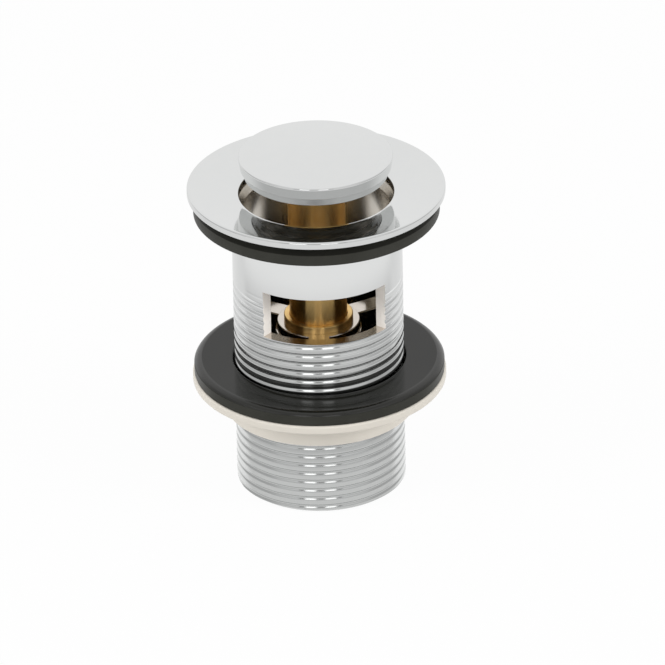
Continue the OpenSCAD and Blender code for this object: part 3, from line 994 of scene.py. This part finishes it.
def end_plug():
    """The slotted plug that closes the barrel from below."""
    rim = END_BORE_R - LOOSE_FIT
    disc = as_object("end_plug", turned([
        (SPINDLE_R + PUSH_FIT, END_LOW, 0.12), (rim, END_LOW, 0.3), (rim, END_TOP, 0.2),
        (SPINDLE_R + PUSH_FIT, END_TOP, 0.12),
    ], SMALL_STEPS), [brass])
    slot = bmesh.new()
    bmesh.ops.create_cube(slot, size=1.0, matrix=(
        Matrix.Translation((0.0, 0.0, END_LOW)) @ Matrix.Diagonal((4 * rim, SLOT_W, 2 * SLOT_H, 1.0))
    ))
    combine(disc, as_object("driver_slot", slot, [brass]), "DIFFERENCE")
    finished("barrel_end_plug", disc, "root", "brass", "end_plug")


def spindle():
    neck = SPINDLE_R - SPINDLE_NECK
    shape = bmesh.new()
    turn(shape, rounded([
        (0.0, HEAD_LOW, 0), (HEAD_R, HEAD_LOW, 0.35), (HEAD_R, END_LOW, 0.1), (SPINDLE_R, END_LOW, 0.05),
        (SPINDLE_R, CLIP_Z, 0.03), (neck, CLIP_Z, 0.05), (neck, CLIP_Z + CLIP_T, 0.05),
        (SPINDLE_R, CLIP_Z + CLIP_T, 0.03), (SPINDLE_R, SPINDLE_TOP - SPINDLE_NECK, 0.1),
        (neck, SPINDLE_TOP, 0.1), (0.0, SPINDLE_TOP, 0),
    ], closed=False), SMALL_STEPS, closed=False)
    finished("drum_spindle", as_object("spindle", shape, [steel]), "root", "steel", "spindle")


def press_spring():
    """The coil that lifts the plug. In the real waste it shortens as the plug goes down."""
    coil = as_object("press_spring", bmesh.new(), [steel])
    grow(coil, coils, {
        "Radius": SPRING_R, "Wire": WIRE_D, "Low": SPRING_LOW + WIRE_D / 2,
        "Height": SPRING_HIGH - SPRING_LOW - WIRE_D, "Open turns": SPRING_TURNS, "Closed pitch": CLOSED_PITCH,
        "Steps per turn": 40, "Sides": 12, "Finish": steel,
    })
    point_outwards(coil)
    finished("lift_spring", coil, "root", "steel", "press_spring")
    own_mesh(coil)


# Seals and nut


def flange_seal():
    """The ring under the flange: a side in lighter rubber, which is painted light, and a slope in the black
    rubber.
    """
    inner = SEAL_BORE_R
    edge = under_flange(SEAL_R) - SEAL_SLOPE_H
    moulded = [
        (SEAL_R, edge, 0), (SEAL_R - SEAL_SLOPE_W, under_flange(SEAL_R - SEAL_SLOPE_W), 0.1),
        (inner, under_flange(inner), 0.3), (inner, SEAL_LOW, 0.5), (SEAL_R - FINISH_SEAM, SEAL_LOW, 0),
    ]
    side = [(SEAL_R - FINISH_SEAM, SEAL_LOW, 0), (SEAL_R, SEAL_LOW, 0.3), (SEAL_R, edge, 0)]
    shape = bmesh.new()
    turn(shape, rounded(moulded, closed=False), LARGE_STEPS, 0, closed=False)
    turn(shape, rounded(side, closed=False), LARGE_STEPS, 1, closed=False)
    ring = as_object("flange_seal", shape, [rubber, lit_side_rubber])
    finished("flange_seal_ring", ring, "root", "rubber", "flange_seal")


def clamp_washer():
    """The ring on the nut, with a parting line round its side and a soft shoulder above it. Its side is in
    lighter rubber, which is painted light.
    """
    middle_r = WASHER_R - SHOULDER_INSET - SHOULDER * math.cos(SHOULDER_START)
    middle_z = WASHER_TOP - SHOULDER
    shoulder = []
    for k in range(SHOULDER_STEPS + 1):
        angle = SHOULDER_START + (math.pi / 2 - SHOULDER_START) * k / SHOULDER_STEPS
        shoulder.append((middle_r + SHOULDER * math.cos(angle), middle_z + SHOULDER * math.sin(angle), 0))
    side = [
        (WASHER_R - FINISH_SEAM, NUT_TOP, 0), (WASHER_R, NUT_TOP, 0.3), (WASHER_R, PARTING - PARTING_H, 0.06),
        (WASHER_R - PARTING_DEPTH, PARTING, 0),
    ]
    moulded = [
        shoulder[-1], (SEAL_BORE_R, WASHER_TOP, 0.6), (SEAL_BORE_R, NUT_TOP, 0.25),
        (WASHER_R - FINISH_SEAM, NUT_TOP, 0),
    ]
    shape = bmesh.new()
    turn(shape, rounded(moulded, closed=False), LARGE_STEPS, 0, closed=False)
    turn(shape, rounded(side, closed=False), LARGE_STEPS, 1, closed=False)
    turn(shape, rounded([side[-1], *shoulder], closed=False), LARGE_STEPS, 2, closed=False)
    ring = as_object("clamp_washer", shape, [wiped, lit_side_rubber, polished])
    finished("clamp_washer_ring", ring, "clamp", "rubber", "clamp_washer")


def backnut():
    """The flanged nut, with its thread cut into the bore."""
    high = NUT_THREAD_LOW + NUT_THREAD_TURNS * PIPE_PITCH
    wide = NUT_BORE_R + NUT_LEAD
    shape = bmesh.new()
    turn(shape, rounded([
        (NUT_BORE_R, high, 0), (NUT_BORE_R, NUT_TOP - NUT_LEAD, 0.1), (wide, NUT_TOP, 0.15),
        (NUT_FLANGE_R, NUT_TOP, 0.6), (NUT_FLANGE_R, NUT_HUB_TOP, 0.6),
        (NUT_HUB_R + NUT_HUB_DRAFT, NUT_HUB_TOP, 0.5), (NUT_HUB_R, NUT_LOW, 0.4), (wide, NUT_LOW, 0.15),
        (NUT_BORE_R, NUT_LOW + NUT_LEAD, 0.1), (NUT_BORE_R, NUT_THREAD_LOW, 0),
    ], closed=False), LARGE_STEPS, closed=False)
    nut = as_object("backnut", shape, [nickel])
    grow(nut, threads, {
        "Radius": NUT_BORE_R, "Depth": -NUT_THREAD_DEPTH, "Pitch": PIPE_PITCH, "Low": NUT_THREAD_LOW,
        "Turns": NUT_THREAD_TURNS, "Rows per turn": NUT_ROWS, "Columns": LARGE_STEPS, "Lead in": 0.6,
        "Lead in depth": 0.0, "Groove in": 0.6, "Run out": 0.8, "Root": 0.15, "Crest": 0.25,
        "Finish": nickel,
    })
    point_outwards(nut)
    finished("flanged_backnut", nut, "nut", "nickel", "backnut")


plug_cap()
cap_seal()
cap_stud()
stud_washer()
plunger()
core_barrel()
end_plug()
spindle()
press_spring()
flange_seal()
clamp_washer()
backnut()

# Pieces whose solids are right as they are, sealed inside the cartridge
for node, inner_finish in {
    "lower_thrust_washer": acetal, "cam_drum": acetal, "upper_thrust_washer": acetal, "drum_clip": steel,
    "spring_seat": steel, "plunger_ring": rubber, "left_follower_pin": steel, "right_follower_pin": steel,
}.items():
    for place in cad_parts[node].material_slots:
        place.material = inner_finish


# Studio: a pale floor, a white surround that is greyer on the camera's side, two strip lamps beside the
# camera in a dark hood, and three broad fills. Lengths in metres, angles in degrees from the object.

LAMP_DISTANCE = 1.3
LAMP_LOW, LAMP_HIGH = 24.0, 41.4
LAMPS = {"left_lamp": ((-24.4, -10.4), 1.5), "right_lamp": ((4.2, 18.2), 1.35)}
FILL_SIZE = 0.5
FILLS = {"front_fill": (-8.0, 60.0, 2.0), "left_fill": (-65.0, 25.0, 12.0), "right_fill": (65.0, 25.0, 12.0)}
HOOD_DISTANCE = 1.1 * LAMP_DISTANCE
HOOD_SIDES = (-38.0, 31.0)
HOOD_LOW, HOOD_HIGH = 32.5, 46.0
HOOD_LEVEL = 0.32

# The surround as polished faces show it, by the sine of the direction. Other faces get an even fill.
SURROUND_FILL = 0.55
SURROUND_BACK = 0.92
BACK_RISE = (0.05, 0.55)
SIDE_ROOM = 0.55
SIDE_FALL = (0.60, 0.92)
FRONT_LOW, FRONT_ROOM = 0.66, 0.86
FRONT_RISE = (0.42, 0.60)
FRONT_DIP = 0.22
DIP_START, DIP_END = (0.66, 0.74), (0.86, 0.93)

# The floor: its paper, how much of that the camera and polished faces see as plain white, and how bright
# the white is in polished faces. In front it changes with distance, and behind a slanting line on each side
# it is brighter. Inside the tube only the paper shows, so that the bore stays dark.
FLOOR_SIZE = 6.0
FLOOR_PLAIN_R = 0.0186
PAPER = 0.72
FLOOR_SEEN, FLOOR_MIRRORED = 0.96, 0.7
FLOOR_NEAR = 0.90
FLOOR_CHANGES = ((0.035, 0.065, -0.34), (0.110, 0.145, 0.41), (0.150, 0.175, -0.18))
FLOOR_BACK_NEAR, FLOOR_BACK_FAR = 1.3, 0.86
FLOOR_BACK_FALL = (0.05, 0.12)
FLOOR_BEHIND = 0.0191
FLOOR_SPREAD = 0.51
FLOOR_BLEND = 0.13


def seen_rays(graph):
    """Which rays show the white surround: the camera's, and those mirrored by a piece."""
    rays = graph.add("ShaderNodeLightPath").socket.node.outputs
    camera = Wire(graph, rays["Is Camera Ray"])
    mirror = Wire(graph, rays["Is Glossy Ray"]).math("MAXIMUM", Wire(graph, rays["Is Transmission Ray"]))
    return camera, mirror


def studio_floor():
    bpy.ops.mesh.primitive_plane_add(size=FLOOR_SIZE)
    floor = bpy.context.object
    floor.name = "studio_floor"
    material = bpy.data.materials.new("studio_floor")
    material.use_nodes = True
    graph = Graph(material.node_tree)
    camera, mirror = seen_rays(graph)
    x, y = graph.split(graph.add("ShaderNodeTexCoord", out="Object"))[:2]
    radius = from_axis(x, y)
    open_floor = radius.math("GREATER_THAN", FLOOR_PLAIN_R)
    share = (camera * FLOOR_SEEN).math("MAXIMUM", mirror * FLOOR_MIRRORED) * open_floor
    front = FLOOR_NEAR
    for start, end, change in FLOOR_CHANGES:
        front = radius.smooth(start, end, 0.0, change) + front
    behind = radius.smooth(*FLOOR_BACK_FALL, FLOOR_BACK_NEAR, FLOOR_BACK_FAR)
    back = (y + FLOOR_BEHIND - FLOOR_SPREAD * x.math("ABSOLUTE")) / radius
    level = back.smooth(-FLOOR_BLEND, FLOOR_BLEND) * (behind - front) + front
    level = camera + level * (1.0 - camera)
    paper = graph.add("ShaderNodeBsdfDiffuse", None, {"Color": (PAPER, PAPER, PAPER, 1.0)})
    white = graph.add("ShaderNodeEmission", None, {"Color": level, "Strength": 1.0})
    mixed = graph.add("ShaderNodeMixShader", None, {0: share, 1: paper, 2: white})
    graph.add("ShaderNodeOutputMaterial", None, {"Surface": mixed})
    floor.data.materials.append(material)


def studio_surround():
    world = bpy.data.worlds.new("studio_surround")
    bpy.context.scene.world = world
    world.use_nodes = True
    graph = Graph(world.node_tree)
    camera, mirror = seen_rays(graph)
    side, back, high = graph.split(graph.add("ShaderNodeTexCoord", out="Generated"))
    dip = FRONT_DIP * high.smooth(*DIP_START) * high.smooth(*DIP_END, 1.0, 0.0)
    front = high.smooth(*FRONT_RISE, FRONT_LOW, FRONT_ROOM) - dip
    share = back.smooth(*BACK_RISE)
    room = front * (1.0 - share) + SURROUND_BACK * share
    room = room.math("MINIMUM", side.math("ABSOLUTE").smooth(*SIDE_FALL, 1.0, SIDE_ROOM))
    fill = 1.0 - camera.math("MAXIMUM", mirror)
    level = camera + room * mirror + SURROUND_FILL * fill
    sky = graph.add("ShaderNodeBackground", None, {"Color": (1.0, 1.0, 1.0, 1.0), "Strength": level})
    graph.add("ShaderNodeOutputWorld", None, {"Surface": sky})


def towards(azimuth, elevation):
    """The way to a place in the studio. Azimuth is from the camera's side, to the right."""
    a, e = math.radians(azimuth), math.radians(elevation)
    return Vector((math.sin(a) * math.cos(e), -math.cos(a) * math.cos(e), math.sin(e)))


def face_object(thing, azimuth, elevation, distance):
    way = towards(azimuth, elevation)
    thing.location = Vector((0.0, 0.0, AIM_HEIGHT * MM)) + way * distance
    thing.rotation_euler = way.to_track_quat("Z", "Y").to_euler()


def studio_lamp(name, sides, radiance):
    """A lamp beside the camera, as wide and high as its angles say."""
    data = bpy.data.lights.new(name, "AREA")
    data.shape = "RECTANGLE"
    data.size = LAMP_DISTANCE * math.radians(sides[1] - sides[0]) * math.cos(math.radians(LAMP_LOW))
    data.size_y = LAMP_DISTANCE * math.radians(LAMP_HIGH - LAMP_LOW)
    data.energy = radiance * math.pi * data.size * data.size_y
    lamp = bpy.data.objects.new(name, data)
    face_object(lamp, sum(sides) / 2, (LAMP_LOW + LAMP_HIGH) / 2, LAMP_DISTANCE)
    bpy.context.collection.objects.link(lamp)


def studio_fill(name, azimuth, elevation, radiance):
    """A broad soft light. Polished faces don't show it."""
    data = bpy.data.lights.new(name, "AREA")
    data.size = FILL_SIZE
    data.energy = radiance * math.pi * FILL_SIZE ** 2
    fill = bpy.data.objects.new(name, data)
    face_object(fill, azimuth, elevation, LAMP_DISTANCE)
    fill.visible_glossy = False
    bpy.context.collection.objects.link(fill)


def studio_hood():
    """The dark hood round the lamps, which only polished faces show."""
    bpy.ops.mesh.primitive_plane_add(size=1.0)
    hood = bpy.context.object
    hood.name = "studio_hood"
    middle = (HOOD_LOW + HOOD_HIGH) / 2
    wide = HOOD_DISTANCE * math.radians(HOOD_SIDES[1] - HOOD_SIDES[0]) * math.cos(math.radians(middle))
    hood.scale = (wide, HOOD_DISTANCE * math.radians(HOOD_HIGH - HOOD_LOW), 1.0)
    face_object(hood, sum(HOOD_SIDES) / 2, middle, HOOD_DISTANCE)
    material = bpy.data.materials.new("studio_hood")
    material.use_nodes = True
    graph = Graph(material.node_tree)
    dim = graph.add("ShaderNodeEmission", None, {"Strength": HOOD_LEVEL})
    graph.add("ShaderNodeOutputMaterial", None, {"Surface": dim})
    hood.data.materials.append(material)
    hood.visible_camera = False
    hood.visible_diffuse = False
    hood.visible_shadow = False


def studio_camera():
    data = bpy.data.cameras.new("studio_camera")
    data.sensor_width = SENSOR_MM
    data.lens = FOCAL_PX * SENSOR_MM / PHOTO_PX
    data.clip_start = 0.1
    data.clip_end = 50.0
    camera = bpy.data.objects.new("studio_camera", data)
    right = Vector((1.0, 0.0, 0.0))
    back = Vector((0.0, -math.cos(VIEW_ELEVATION), math.sin(VIEW_ELEVATION)))
    up = back.cross(right)
    per_px = VIEW_DISTANCE / FOCAL_PX
    place = Vector((0.0, 0.0, AIM_HEIGHT)) + back * VIEW_DISTANCE
    place -= right * (AIM_RIGHT_PX * per_px) + up * (AIM_UP_PX * per_px)
    c, s = math.cos(VIEW_ROLL), math.sin(VIEW_ROLL)
    axes = Matrix((right * c - up * s, right * s + up * c, back)).transposed()
    camera.matrix_world = Matrix.Translation(place * MM) @ axes.to_4x4()
    bpy.context.collection.objects.link(camera)
    bpy.context.scene.camera = camera


studio_floor()
studio_surround()
for lamp_name, lamp_values in LAMPS.items():
    studio_lamp(lamp_name, *lamp_values)
for fill_name, fill_values in FILLS.items():
    studio_fill(fill_name, *fill_values)
studio_hood()
studio_camera()
bpy.context.scene.view_settings.view_transform = "Standard"
